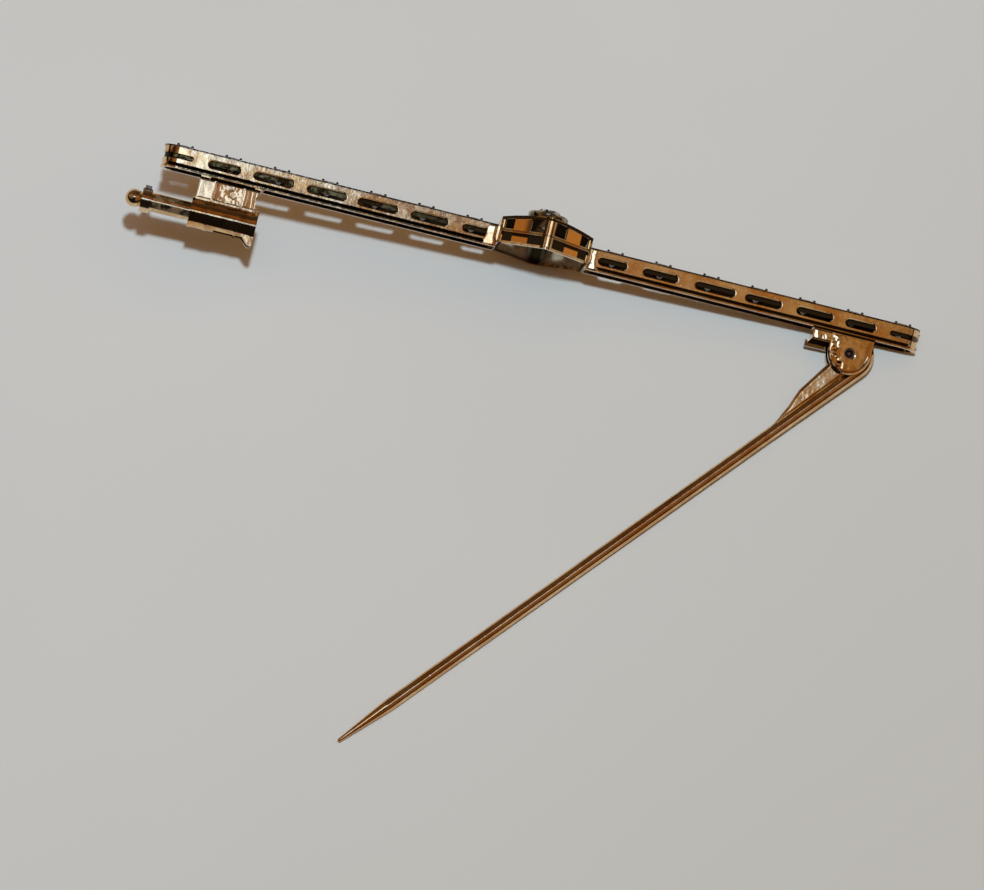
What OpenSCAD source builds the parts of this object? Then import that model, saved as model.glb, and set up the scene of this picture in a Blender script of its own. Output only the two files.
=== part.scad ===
// Bar brooch, lying on its long side with its pin swung open, in millimetres.
// The brooch is drawn upright in its own axes: X along the bar from catch to hinge,
// Y from the back of the bar to its face, Z across the bar. lay() then rests it on
// the surface on three points: the centre box, the hinge end and the pin.

/* [Bar] */
// Length of the brooch over both bar boxes
bar_len = 60; // [58:0.5:64]
// Width of a bar box
bar_w = 2.6; // [2.5:0.05:2.8]
// Depth of a bar box from its back rim to its face
bar_depth = 1.75; // [1.7:0.05:2]
// Thickness of the side walls
wall_t = 0.3; // [0.25:0.01:0.34]
// Thickness of the face plate that holds the stones
plate_t = 0.45; // [0.4:0.01:0.5]
// Distance from the middle of the brooch to the inner end of a bar box
bar_start = 3.57; // [3.56:0.01:3.58]
// Height of the sawn slots
slot_h = 0.55; // [0.4:0.01:0.6]
// Distance of the slots' middle line from the back of the bar
slot_y = 0.92; // [0.85:0.01:0.95]

/* [Stones] */
// Stones along each bar box
stone_count = 7; // [5:1:8]
// Distance from the middle of the brooch to the first stone
first_stone = 5.6; // [5.4:0.05:5.7]
// Distance from the last stone to the end of the bar
end_stone = 1.48; // [1.4:0.01:1.8]
// Diameter of a stone of the bar
stone_d = 2.08; // [1.9:0.02:2.1]
// Diameter of the centre stone
centre_d = 2.52; // [2.3:0.02:2.6]

/* [Centre box] */
// Distance from the middle of the brooch to the box's flat sides
box_flat = 3.6; // [3.6:0.05:3.7]
// Distance from the middle of the bar to the box's points
box_point = 5.6; // [5.2:0.1:6.2]
// Distance from the middle of the bar to the ends of the flat sides
box_shoulder = 2.6; // [2.4:0.05:2.8]
// Distance of the box's back rim above the back of the bar
box_back = 0.22; // [0.1:0.01:0.3]
// Height of the box's face above the back of the bar
box_face = 2.68; // [2.6:0.02:2.8]
// Radius of the arch that the face follows along the bar
arch_r = 16; // [14:0.5:24]

/* [Hinge] */
// Distance from the middle of the brooch to the rivet
pivot_x = 25; // [24.6:0.1:25.4]
// Distance from the back of the bar to the rivet
pivot_drop = 1.37; // [1.35:0.01:1.5]
// Radius of the two ears
ear_r = 1.67; // [1.5:0.01:1.7]
// Radius of the rivet
rivet_r = 0.42; // [0.35:0.01:0.45]

/* [Pin] */
// Opening angle of the pin as it lies
pin_open = 49.1; // [20:0.1:60]
// Diameter of the stem
stem_d = 0.96; // [0.8:0.01:0.98]
// Distance from the rivet to the stem's axis
stem_offset = 1.49; // [1.45:0.01:1.55]
// Length from the rivet to the point
stem_len = 49.6; // [49.4:0.05:49.65]
// Length of the tapered point
taper_len = 4.8; // [4.5:0.1:6]

/* [Catch] */
// Diameter of the outer tube
tube_d = 2.3; // [2.2:0.05:2.5]
// Diameter of the sliding tube
slide_d = 1.5; // [1.46:0.01:1.52]
// Distance that the sliding tube is pulled out as it lies
slide_out = 3; // [0:0.1:3]

/* [Hidden] */
// Each sawn slot of a bar 60 long: distance of its middle from the brooch's middle, its length
slots_left = [[5.3, 2.0], [8.95, 2.85], [13.05, 3.1], [17.1, 3.05], [21.3, 3.1], [25.2, 2.5]];
slots_right = [[5.6, 2.2], [9.4, 2.7], [13.75, 3.1], [17.6, 2.8], [21.7, 2.8], [25.35, 2.3]];
// The slots of the lower wall sit a little nearer the back
slot_drop = 0.14;
// Half width and lower edge of the rib that holds the stones, and the drilled holes in it
rib_r = 0.8;
rib_y = 0.9;
rib_hole_r = 0.6;
// Width and depth of the filed edge round a slot
slot_file = 0.1;
// Length and height of the slot that runs round an end
end_slot_len = 2.35;
end_slot_h = 0.42;
// The wall slopes in towards its back rim, which leaves a fine dark line
rim_h = 0.13;
rim_out = 0.03;
slope_h = 0.4;
slope_in = 0.15;
// The white metal edge of the face
edge_h = 0.11;
edge_out = 0.05;
bar_r = bar_w / 2;
// The saw stops short of the rib
slot_in = bar_r - wall_t - 0.15;
bar_end = bar_len / 2;
stretch = bar_len / 60;
stone_pitch = (bar_end - end_stone - first_stone) / (stone_count - 1);
// A cut that passes clean through
over = 0.5;
// Gap between a stone and its seat
seat_gap = 0.03;
// The flared seat and the drilled hole, measured down from the girdle
seat_h = 0.5;
hole_top = 0.3;
girdle_h = 0.06;
claw_r = 0.11;
claw_top = 0.1;
claw_angle = 62;

bar_girdle = bar_depth - 0.16;
bar_crown = 0.26;
bar_pavilion = 0.82;

box_wall = 0.3;
box_recess = 0.12;
box_slope = (box_point - box_shoulder) / box_flat;
post_r = 0.34;
// Heights of the box's openings: [bottom, top] of each tier
tiers = [[0.4, 1.14], [1.38, 2.6]];
// Openings along a slanting side, from its point: [start, end]
openings = [[0.62, 2.0], [3.5, 4.45]];
recess_span = [0.55, 4.5];
blind_depth = box_recess + 0.1;
box_plate = 0.22;

centre_girdle = 3.3;
centre_crown = 0.52;
centre_pavilion = 1.0;
collet_h = 0.95;

ear_in = 0.6;
ear_out = 1.1;
ear_bevel = 0.14;
// The foot plate of the ears and the stop for the pin's head
foot_run = 1.5;
foot_y = -0.05;
foot_h = 0.25;
stop_run = 1.45;
stop_y = -0.93;
tab_y = -1.4;
tab_h = 0.5;
head_r = 1.25;
head_t = 1.1;
pin_bore_r = rivet_r + 0.03;
rivet_sink = 0.2;
// The wedge shaped fin between head and stem: [along the stem, towards the bar]
fin = [[0, 0.35], [1.2, 0.32], [2.2, 0.27], [4.7, -0.04], [5.4, -0.28], [6.1, -0.56],
       [8.3, -1.15], [8.3, -1.5], [0, -1.5]];
fin_t = 0.6;
stem_r = stem_d / 2;
// Under the fin the stem thickens towards the head
root_len = 8.6;
root_r = stem_r + 0.06;
root_end_r = stem_r + 0.01;
tip_r = 0.15;
// The bent start of the stem ends at this angle behind the rivet
bend_angle = 65;

tube_y = -pivot_drop - stem_offset;
tube_start = -27;
tube_end = -21.8;
tube_bore = slide_d / 2 + 0.05;
tube_slot = 0.96;
tube_slot_len = 3.1;
slide_bore = 0.46;
slide_len = 5.3;
slide_end = tube_end - slide_out;
collar_r = 0.95;
collar_t = 0.75;
ball_r = 0.72;
nub_h = 1.15;
nub_t = 0.5;
slide_floor = 0.6;
bands = [-25.6, -23.3];
// The web between tube and bar, with its two feet
web_start = tube_start + 0.2;
web_t = 1;
web_y = tube_y + tube_d / 2 - 0.2;
web_h = -tube_y - tube_d / 2;
web_foot = 0.75;
web_arc = 1;

// How the brooch lies, from its three points of rest
rest_stem = stem_len - taper_len;
rest_end = bar_end - bar_r;
drop_end = box_point - bar_r - rim_out;
stem_x = pivot_x - rest_stem * cos(pin_open) + stem_offset * sin(pin_open);
stem_y = -pivot_drop - rest_stem * sin(pin_open) - stem_offset * cos(pin_open);
fall_y = (box_point - stem_r - stem_x / rest_end * drop_end)
    / (box_back - stem_y - stem_x / rest_end * box_back);
fall_x = (drop_end - fall_y * box_back) / rest_end;
lie_roll = atan(fall_y);
lie_pitch = atan(fall_x / sqrt(1 + fall_y * fall_y));
lie_lift = (box_point - fall_y * box_back) / sqrt(1 + fall_x * fall_x + fall_y * fall_y);
// Puts the middle of the laid brooch over the origin
lie_shift = [1.01, 17.74];

$fn = 48;
gold = [0.86, 0.64, 0.32];
gem = [0.86, 0.9, 0.94];

// Rests the upright brooch on the surface
module lay() {
    translate([lie_shift[0], lie_shift[1], lie_lift])
        rotate([lie_roll, lie_pitch, 0])
            children();
}

// A plan drawn along and across the bar, raised from y by h towards the face
module raise(y, h) {
    translate([0, y + h, 0])
        rotate([90, 0, 0])
            linear_extrude(h)
                children();
}

// A round post whose axis points to the face
module post(x, z, y, h, r, r_top = -1) {
    translate([x, y, z])
        rotate([-90, 0, 0])
            cylinder(h = h, r1 = r, r2 = r_top < 0 ? r : r_top);
}

// A rod along the bar
module rod(x, length, r) {
    translate([x, tube_y, 0])
        rotate([0, 90, 0])
            cylinder(h = length, r = r);
}

// The long box shape of a bar half on the hinge side, with a round end
module long_box(first, r, y, h) {
    last = bar_end - bar_r;
    translate([first, y, -r])
        cube([last - first, h, 2 * r]);
    post(last, 0, y, h, r);
}

// The same shape with sloping walls, from radius r at y to r_top
module sloped_box(r, r_top, y, h) {
    last = bar_end - bar_r;
    translate([bar_start, 0, 0])
        rotate([90, 0, 90])
            linear_extrude(last - bar_start)
                polygon([[y, -r], [y, r], [y + h, r_top], [y + h, -r_top]]);
    post(last, 0, y, h, r, r_top);
}

// A slot through both walls with round ends and filed edges
module slot(middle, length) {
    half = length / 2 - slot_h / 2;
    low = slot_h / 2;
    high = low + slot_file;
    for (wall = [[1, slot_y], [-1, slot_y - slot_drop]])
        translate([middle, wall[1], 0])
            mirror([0, 0, wall[0] < 0 ? 1 : 0]) {
                translate([-half, -low, slot_in])
                    cube([2 * half, slot_h, bar_w]);
                translate([-half, 0, 0])
                    rotate([90, 0, 90])
                        linear_extrude(2 * half)
                            polygon([[-low, bar_r - slot_file], [low, bar_r - slot_file],
                                     [high + over, bar_r + over], [-high - over, bar_r + over]]);
                for (side = [-1, 1])
                    translate([side * half, 0, 0]) {
                        translate([0, 0, slot_in])
                            cylinder(h = bar_w, r = low);
                        translate([0, 0, bar_r - slot_file])
                            cylinder(h = slot_file + over, r1 = low, r2 = high + over);
                    }
            }
}

// The slot that runs round the end of the bar
module open_slot() {
    start = bar_end - end_slot_len + end_slot_h / 2;
    translate([start, slot_y - end_slot_h / 2, -bar_w])
        cube([end_slot_len + over, end_slot_h, 2 * bar_w]);
    translate([start, slot_y, -bar_w])
        cylinder(h = 2 * bar_w, d = end_slot_h);
}

// The drilled hole and the flared seat of a stone of the bar
module bar_seat(x) {
    slope = stone_d / 2 / bar_pavilion;
    post(x, 0, bar_girdle, over, stone_d / 2 + seat_gap + 0.01);
    post(x, 0, bar_girdle - seat_h, seat_h, stone_d / 2 - slope * seat_h + seat_gap,
         stone_d / 2 + seat_gap);
    post(x, 0, rib_y - over, bar_girdle - hole_top - rib_y + over, rib_hole_r);
}

// Four small claws round a stone of the bar
module claws(x) {
    reach = stone_d / 2 + seat_gap + claw_r;
    for (along = [-1, 1], across = [-1, 1]) {
        post(x + along * reach * cos(claw_angle), across * reach * sin(claw_angle),
             bar_depth - plate_t / 2, plate_t / 2 + claw_top, claw_r);
        translate([x + along * reach * cos(claw_angle), bar_depth + claw_top,
                   across * reach * sin(claw_angle)])
            sphere(r = claw_r);
    }
}

// One half of the bar, on the hinge side
module bar_half(slots) {
    difference() {
        union() {
            long_box(bar_start, bar_r, slope_h, bar_depth - slope_h);
            sloped_box(bar_r - slope_in, bar_r, rim_h, slope_h - rim_h);
            long_box(bar_start, bar_r + rim_out, 0, rim_h);
            long_box(bar_start, bar_r + edge_out, bar_depth - edge_h, edge_h);
        }
        long_box(bar_start + wall_t + 0.15, bar_r - wall_t, -over, bar_depth - plate_t + over);
        for (s = slots)
            slot(stretch * s[0], s[1]);
        open_slot();
        for (i = [0 : stone_count - 1])
            bar_seat(first_stone + i * stone_pitch);
    }
    difference() {
        long_box(bar_start + wall_t, rib_r, rib_y, bar_depth - plate_t - rib_y + 0.05);
        for (i = [0 : stone_count - 1])
            bar_seat(first_stone + i * stone_pitch);
    }
    for (i = [0 : stone_count - 1])
        claws(first_stone + i * stone_pitch);
}

// Plan of the centre box, with its sides moved inwards
function box_plan(inset) =
    let (run = sqrt(1 + box_slope * box_slope),
         point = box_point + (run - 1) * post_r - inset * run,
         tip = max(point - box_point + inset + 0.05, 0.05) / box_slope,
         flat = box_flat - inset)
    concat(
        [for (side = [1, -1]) [side * tip, point - box_slope * tip]],
        [for (end = [1, -1]) [-flat, end * (point - box_slope * flat)]],
        [for (side = [-1, 1]) [side * tip, box_slope * tip - point]],
        [for (end = [-1, 1]) [flat, end * (point - box_slope * flat)]]);

// Places children on a slanting side: X along it from its point, Z inwards
module on_side(along, across) {
    mirror([along < 0 ? 1 : 0, 0, 0])
        mirror([0, 0, across < 0 ? 1 : 0])
            translate([0, 0, box_point + (sqrt(1 + box_slope * box_slope) - 1) * post_r])
                rotate([0, atan(box_slope), 0])
                    mirror([0, 0, 1])
                        children();
}

// The arch over the bar, lowered by depth, that ends the centre box at its face
module arch(depth) {
    translate([0, box_face - arch_r, -box_point - 1])
        cylinder(h = 2 * box_point + 2, r = arch_r - depth, $fn = 4 * $fn);
}

// Openings and recesses of one slanting side; only the upper tier of the upper sides is cut through
module side_openings(across) {
    for (tier = tiers) {
        deep = across > 0 && tier == tiers[1] ? 2 * box_wall : blind_depth;
        height = tier[1] - tier[0];
        translate([recess_span[0], tier[0], -box_recess])
            cube([recess_span[1] - recess_span[0], height, 2 * box_recess]);
        for (o = openings)
            translate([o[0], tier[0], -over])
                cube([o[1] - o[0], height, over + deep]);
    }
}

// The six sided centre box with two tiers of openings
module centre_box() {
    difference() {
        intersection() {
            arch(0);
            union() {
                raise(box_back, box_face - box_back)
                    polygon(box_plan(0));
                for (across = [-1, 1])
                    post(0, across * (box_point - post_r), box_back, box_face - box_back, post_r);
            }
        }
        intersection() {
            arch(box_plate);
            union() {
                raise(box_back - over, box_face - box_back + over)
                    polygon(box_plan(box_wall));
                for (along = [-1, 1], across = [-1, 1])
                    on_side(along, across)
                        side_openings(across);
            }
        }
        post(0, 0, box_face - box_plate - over, 2 * over, centre_d / 4);
    }
}

// The round collet of the centre stone
module collet() {
    r = centre_d / 2;
    foot = box_face - 0.05;
    rotate([-90, 0, 0])
        rotate_extrude()
            polygon([[r / 2, foot - 0.15], [r + 0.02, foot - 0.15], [r + 0.16, foot + 0.22],
                     [r + 0.31, foot + 0.55], [r + 0.31, foot + collet_h - 0.12],
                     [r + 0.19, foot + collet_h], [r + seat_gap, foot + collet_h],
                     [r + seat_gap, centre_girdle], [r / 2, foot + 0.04]]);
}

// Solder that joins the bar boxes to the centre box
module solder(side) {
    translate([side * (box_flat + 0.35) - 0.45, 0.36, -0.8])
        cube([0.9, 1.1, 1.6]);
}

// The two ears of the hinge with their foot and stop
module hinge_ears() {
    difference() {
        union() {
            for (side = [-1, 1])
                translate([0, 0, side * (ear_in + ear_out) / 2 - (ear_out - ear_in) / 2]) {
                    translate([pivot_x, -pivot_drop, side < 0 ? ear_bevel : 0])
                        cylinder(h = ear_out - ear_in - ear_bevel, r = ear_r);
                    translate([pivot_x, -pivot_drop, side < 0 ? 0 : ear_out - ear_in - ear_bevel])
                        cylinder(h = ear_bevel, r1 = side < 0 ? ear_r - ear_bevel : ear_r,
                                 r2 = side < 0 ? ear_r : ear_r - ear_bevel);
                    translate([pivot_x - ear_r, -pivot_drop, 0])
                        cube([2 * ear_r, pivot_drop + 0.2, ear_out - ear_in]);
                }
            translate([pivot_x - ear_r - foot_run, foot_y, -bar_r + wall_t / 2])
                cube([2 * ear_r + foot_run, foot_h, bar_w - wall_t]);
            translate([pivot_x - ear_r - stop_run, stop_y, -ear_out])
                cube([foot_run, 1, 2 * ear_out]);
            translate([pivot_x - ear_r - stop_run - 0.3, tab_y, -ear_out])
                cube([stop_run + tab_h, tab_h, ear_out - ear_in]);
        }
        translate([pivot_x, -pivot_drop, -2 * ear_out])
            cylinder(h = 4 * ear_out, r = rivet_r + 0.01);
        translate([pivot_x - 0.66, -pivot_drop - 1, ear_out - 0.12])
            cylinder(h = 0.13, r1 = 0.08, r2 = 0.27);
    }
}

// The bracket that carries the catch tube, with a foot at each end
module bracket() {
    difference() {
        union() {
            translate([web_start, web_y, -web_t / 2])
                cube([tube_end - web_start, web_h, web_t]);
            translate([web_start, -0.3, -web_t / 2])
                cube([tube_end - web_start, 0.35, web_t / 3]);
            for (x = [web_start, tube_end - web_foot])
                translate([x, -0.14, -bar_r + wall_t / 2])
                    cube([web_foot, 0.3, bar_w - wall_t]);
            for (x = bands)
                translate([x - 0.08, web_y, -web_t / 2 - 0.05])
                    cube([0.16, web_h, web_t + 0.1]);
        }
        translate([tube_end + web_arc / 2, -0.85, -bar_w])
            cylinder(h = 2 * bar_w, r = web_arc);
    }
}

// The slotted outer tube of the catch with flared lips
module catch_tube() {
    r = tube_d / 2;
    difference() {
        union() {
            rod(tube_start, tube_end - tube_start, r);
            rod(tube_start, 0.16, r + 0.05);
            rod(tube_end - 0.35, 0.35, r + 0.1);
            for (x = bands)
                rod(x - 0.08, 0.16, r + 0.07);
            for (side = [-1, 1])
                translate([0, tube_y, side * 0.68 - 0.2])
                    linear_extrude(0.4)
                        polygon([[tube_end - 1.1, -0.85], [tube_end - 0.72, -r - 0.06],
                                 [tube_end - 0.5, -r - 0.28], [tube_end - 0.34, -r - 0.42],
                                 [tube_end - 0.14, -r - 0.46], [tube_end - 0.02, -r - 0.36],
                                 [tube_end, -r - 0.2], [tube_end, -0.85]]);
        }
        rod(tube_start - over, tube_end - tube_start + 2 * over, tube_bore);
        translate([tube_end - tube_slot_len, tube_y - 2 * r, -tube_slot / 2])
            cube([tube_slot_len + over, 2 * r, tube_slot]);
    }
}

// All the soldered metal
module frame() {
    color(gold)
        lay() {
            bar_half(slots_right);
            mirror([1, 0, 0])
                bar_half(slots_left);
            centre_box();
            collet();
            for (side = [-1, 1])
                solder(side);
            hinge_ears();
            difference() {
                bracket();
                rod(tube_start, tube_end - tube_start, tube_bore);
            }
            catch_tube();
        }
}

// Turns children from the closed pin's axes to the open pin: X along the stem, Y to the bar
module on_pin() {
    translate([pivot_x, -pivot_drop, 0])
        rotate([0, 0, pin_open])
            mirror([1, 0, 0])
                children();
}

// Head, fin and stem of the pin
module pin() {
    color(gold)
        lay()
            on_pin()
                difference() {
                    union() {
                        translate([0, 0, -head_t / 2])
                            cylinder(h = head_t, r = head_r);
                        rotate([0, 0, 270 - bend_angle])
                            rotate_extrude(angle = bend_angle)
                                translate([stem_offset, 0])
                                    circle(r = root_r);
                        translate([0, 0, -fin_t / 2])
                            linear_extrude(fin_t)
                                polygon(fin);
                        translate([0, -stem_offset, 0])
                            rotate([0, 90, 0]) {
                                cylinder(h = root_len, r1 = root_r, r2 = root_end_r);
                                cylinder(h = stem_len - taper_len, r = stem_r);
                                translate([0, 0, stem_len - taper_len])
                                    cylinder(h = taper_len - tip_r, r1 = stem_r, r2 = tip_r);
                                translate([0, 0, stem_len - tip_r])
                                    sphere(r = tip_r);
                            }
                    }
                    translate([0, 0, -head_t])
                        cylinder(h = 2 * head_t, r = pin_bore_r);
                }
}

// The rivet, sunk a little into both ears
module hinge_rivet() {
    color(gold)
        lay()
            translate([pivot_x, -pivot_drop, 0])
                difference() {
                    cylinder(h = 2 * (ear_out - rivet_sink), r = rivet_r, center = true);
                    for (side = [0, 1])
                        mirror([0, 0, side])
                            translate([0, 0, ear_out - rivet_sink - 0.2])
                                cylinder(h = 0.21, r1 = 0.12, r2 = 0.34);
                }
}

// The sliding inner tube with its collar, nub and ball
module catch_slide() {
    back = slide_end - slide_len;
    color(gold)
        lay()
            difference() {
                union() {
                    rod(back, slide_len, slide_d / 2);
                    rod(back - collar_t, collar_t, collar_r);
                    translate([back - collar_t - nub_t, tube_y, 0])
                        sphere(r = ball_r);
                    translate([back - collar_t / 2 - nub_t / 2, tube_y, -nub_t / 2])
                        cube([nub_t, nub_h, nub_t]);
                }
                rod(back + slide_floor, slide_len, slide_bore);
            }
}

// A ring of points round the axis of a stone
function ring(n, r, z, turn = 0) =
    [for (i = [0 : n - 1]) [r * cos(360 * i / n + turn), r * sin(360 * i / n + turn), z]];

// Triangles between a ring of 8 points from a and a ring of 16 points from b
function fan_in(a, b, flip) =
    [for (i = [0 : 7], t = [
        [a + i, b + 2 * i, b + (2 * i + 1) % 16],
        [a + i, b + (2 * i + 1) % 16, a + (i + 1) % 8],
        [a + (i + 1) % 8, b + (2 * i + 1) % 16, b + (2 * i + 2) % 16]])
        flip ? [t[2], t[1], t[0]] : t];

// A round cut stone: table, 8 and 16 crown facets, girdle, pavilion and point
module cut_stone(r, crown, pavilion) {
    rotate([-90, 0, 0])
        polyhedron(
            points = concat(
                ring(8, r * 0.6, crown + girdle_h, 22.5),
                ring(16, r, girdle_h, 22.5),
                ring(16, r, 0, 22.5),
                ring(8, r * 0.45, -pavilion * 0.55, 22.5),
                [[0, 0, -pavilion]]),
            faces = concat(
                [[for (i = [7 : -1 : 0]) i]],
                fan_in(0, 8, true),
                [for (i = [0 : 15]) [8 + i, 8 + (i + 1) % 16, 24 + (i + 1) % 16, 24 + i]],
                fan_in(40, 24, false),
                [for (i = [0 : 7]) [40 + i, 40 + (i + 1) % 8, 48]]));
}

module centre_stone() {
    color(gem)
        lay()
            translate([0, centre_girdle, 0])
                cut_stone(centre_d / 2, centre_crown, centre_pavilion);
}

module bar_stone(side, index) {
    color(gem)
        lay()
            translate([side * (first_stone + (index - 1) * stone_pitch), bar_girdle, 0])
                cut_stone(stone_d / 2, bar_crown, bar_pavilion);
}

frame();
pin();
hinge_rivet();
catch_slide();
centre_stone();
for (i = [1 : stone_count]) {
    bar_stone(-1, i);
    bar_stone(1, i);
}
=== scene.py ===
import math
import bmesh
import bpy
from mathutils import Matrix, Vector, noise


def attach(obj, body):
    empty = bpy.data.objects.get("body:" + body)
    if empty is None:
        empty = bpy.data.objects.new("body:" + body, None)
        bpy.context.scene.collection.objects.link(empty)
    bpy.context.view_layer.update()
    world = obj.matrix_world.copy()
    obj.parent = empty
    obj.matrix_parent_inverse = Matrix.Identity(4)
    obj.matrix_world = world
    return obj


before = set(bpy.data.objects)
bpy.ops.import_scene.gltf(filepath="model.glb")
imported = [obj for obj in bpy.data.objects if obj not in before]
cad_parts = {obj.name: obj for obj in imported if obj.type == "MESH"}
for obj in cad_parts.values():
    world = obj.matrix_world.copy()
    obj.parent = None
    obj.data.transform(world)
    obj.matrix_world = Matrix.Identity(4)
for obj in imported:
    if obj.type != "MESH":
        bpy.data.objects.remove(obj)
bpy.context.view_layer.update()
mm = 0.001
print("brooch loaded:", len(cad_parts), "solids")

# How the upright brooch (X along the bar, Y to its face, Z across) was laid down
lying = {"roll": 8.7292, "pitch": 8.3005, "shift": (1.01, 17.74), "lift": 5.4441}
# The rivet of the hinge, and how far the pin is swung open
hinge = {"x": 25, "y": -1.37, "open": 49.1}


def laidMatrix():
    pitch = Matrix.Rotation(math.radians(lying["pitch"]), 4, "Y")
    roll = Matrix.Rotation(math.radians(lying["roll"]), 4, "X")
    return Matrix.Translation(Vector((*lying["shift"], lying["lift"])) * mm) @ pitch @ roll


laid = laidMatrix()
laidTurn = laid.to_3x3()


def broochPoint(x, y, z):
    return laid @ (Vector((x, y, z)) * mm)


def pinPoint(along, across, z):
    # along the stem from the rivet, and across towards the bar
    turn = math.radians(hinge["open"])
    return broochPoint(hinge["x"] - along * math.cos(turn) - across * math.sin(turn),
                       hinge["y"] - along * math.sin(turn) + across * math.cos(turn), z)


# Shader maths: a socket that can be added, multiplied and mixed
class Socket:
    def __init__(self, tree, out):
        self.tree, self.out = tree, out

    def make(self, kind, settings=None, values=None, output=0):
        node = self.tree.nodes.new(kind)
        for name, value in (settings or {}).items():
            setattr(node, name, value)
        for name, value in (values or {}).items():
            plug = node.inputs[name]
            if isinstance(value, Socket):
                self.tree.links.new(value.out, plug)
            else:
                plug.default_value = value
        return Socket(self.tree, node.outputs[output])

    def math(self, operation, *terms):
        return self.make("ShaderNodeMath", {"operation": operation}, dict(enumerate(terms)))

    def __add__(self, other): return self.math("ADD", self, other)
    def __radd__(self, other): return self.math("ADD", other, self)
    def __sub__(self, other): return self.math("SUBTRACT", self, other)
    def __rsub__(self, other): return self.math("SUBTRACT", other, self)
    def __mul__(self, other): return self.math("MULTIPLY", self, other)
    def __rmul__(self, other): return self.math("MULTIPLY", other, self)
    def __pow__(self, other): return self.math("POWER", self, other)

    def clamp(self):
        return self.make("ShaderNodeClamp", None, {"Value": self})

    def step(self, low, high):
        return self.make("ShaderNodeMapRange", {"interpolation_type": "SMOOTHSTEP"},
                          {"Value": self, "From Min": low, "From Max": high})

    def between(self, low=None, high=None):
        # 1 from the soft edge low to the soft edge high, and 0 outside them
        mask = self.step(*low) if low else 1.0
        return mask * (1 - self.step(*high)) if high else mask

    def mix(self, a, b):
        a = (*a, 1) if isinstance(a, tuple) and len(a) == 3 else a
        b = (*b, 1) if isinstance(b, tuple) and len(b) == 3 else b
        return self.make("ShaderNodeMix", {"data_type": "RGBA"}, {0: self, 6: a, 7: b}, 2)

    def dot(self, vector):
        return self.make("ShaderNodeVectorMath", {"operation": "DOT_PRODUCT"}, {0: self, 1: vector}, 1)


def newMaterial(name):
    material = bpy.data.materials.new(name)
    material.use_nodes = True
    tree = material.node_tree
    tree.nodes.clear()
    output = tree.nodes.new("ShaderNodeOutputMaterial")
    start = Socket(tree, None)
    place = start.make("ShaderNodeTexCoord", None, None, 3)
    return material, tree, output, start, place


def noiseOf(place, scale, detail, rough=0.55):
    return place.make("ShaderNodeTexNoise", None,
                      {"Vector": place, "Scale": scale, "Detail": detail, "Roughness": rough})


alongBar, toFace, acrossBar = (laidTurn.col[i].copy() for i in range(3))
laidOrigin = laid.translation

goldLook = {
    "deep": (0.72, 0.37, 0.13), "pale": (0.92, 0.66, 0.35), "worn": (0.98, 0.86, 0.66),
    "stain": (0.47, 0.26, 0.12), "shade": (0.05, 0.028, 0.012),
    "rough": (0.05, 0.11), "dent": 6.0, "ripple": 2.8, "grain": 0.5, "film": 0.0}
frameLook = {
    **goldLook,
    "paintedShade": (0.026, 0.015, 0.007), "insideShade": (0.22, 0.20, 0.12), "underRimShade": (0.09, 0.05, 0.025),
    "floorReflectionDim": (0.52, 0.41, 0.28), "floorReflectionPale": (0.70, 0.58, 0.43), "brown": (0.16, 0.085, 0.03),
    "ends": (0.13, 0.055, 0.018), "shadeStrip": (0.08, 0.052, 0.022), "bracket": (0.86, 0.62, 0.38),
    "panelReflection": (0.95, 0.36, 0.06), "shadedPanel": (0.14, 0.05, 0.015),
    "panelRough": 0.16, "shadeRough": 0.3, "film": 0.16}
whiteLook = {
    "tint": (0.66, 0.58, 0.38), "shade": (0.14, 0.105, 0.066), "glint": (0.34, 0.25, 0.16),
    "sideShade": (0.034, 0.025, 0.017), "face": (0.86, 0.85, 0.82), "worn": (0.66, 0.64, 0.59)}

# Each noise in the gold: its waves to the metre, its detail and its roughness
noises = {"cloud": (380, 4), "dents": (650, 1), "ripples": (2600, 2), "speck": (7000, 2),
          "mottle": (1100, 3, 0.65)}
# How strongly a mark shows, from 0 to 1
strength = {
    "mottled": 0.22, "stained": 0.55, "stainedEnd": 0.165, "wear": 0.8, "stripSpecks": 0.6,
    "stripRight": 0.45, "bracket": 0.4, "bracketStain": 0.6, "shadedPanel": 0.9, "rail": 0.8, "whiteShade": 0.45,
    "hingeTab": 0.75, "plainMottle": 0.3, "slideNub": 0.9, "stoneShade": 0.92}

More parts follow.
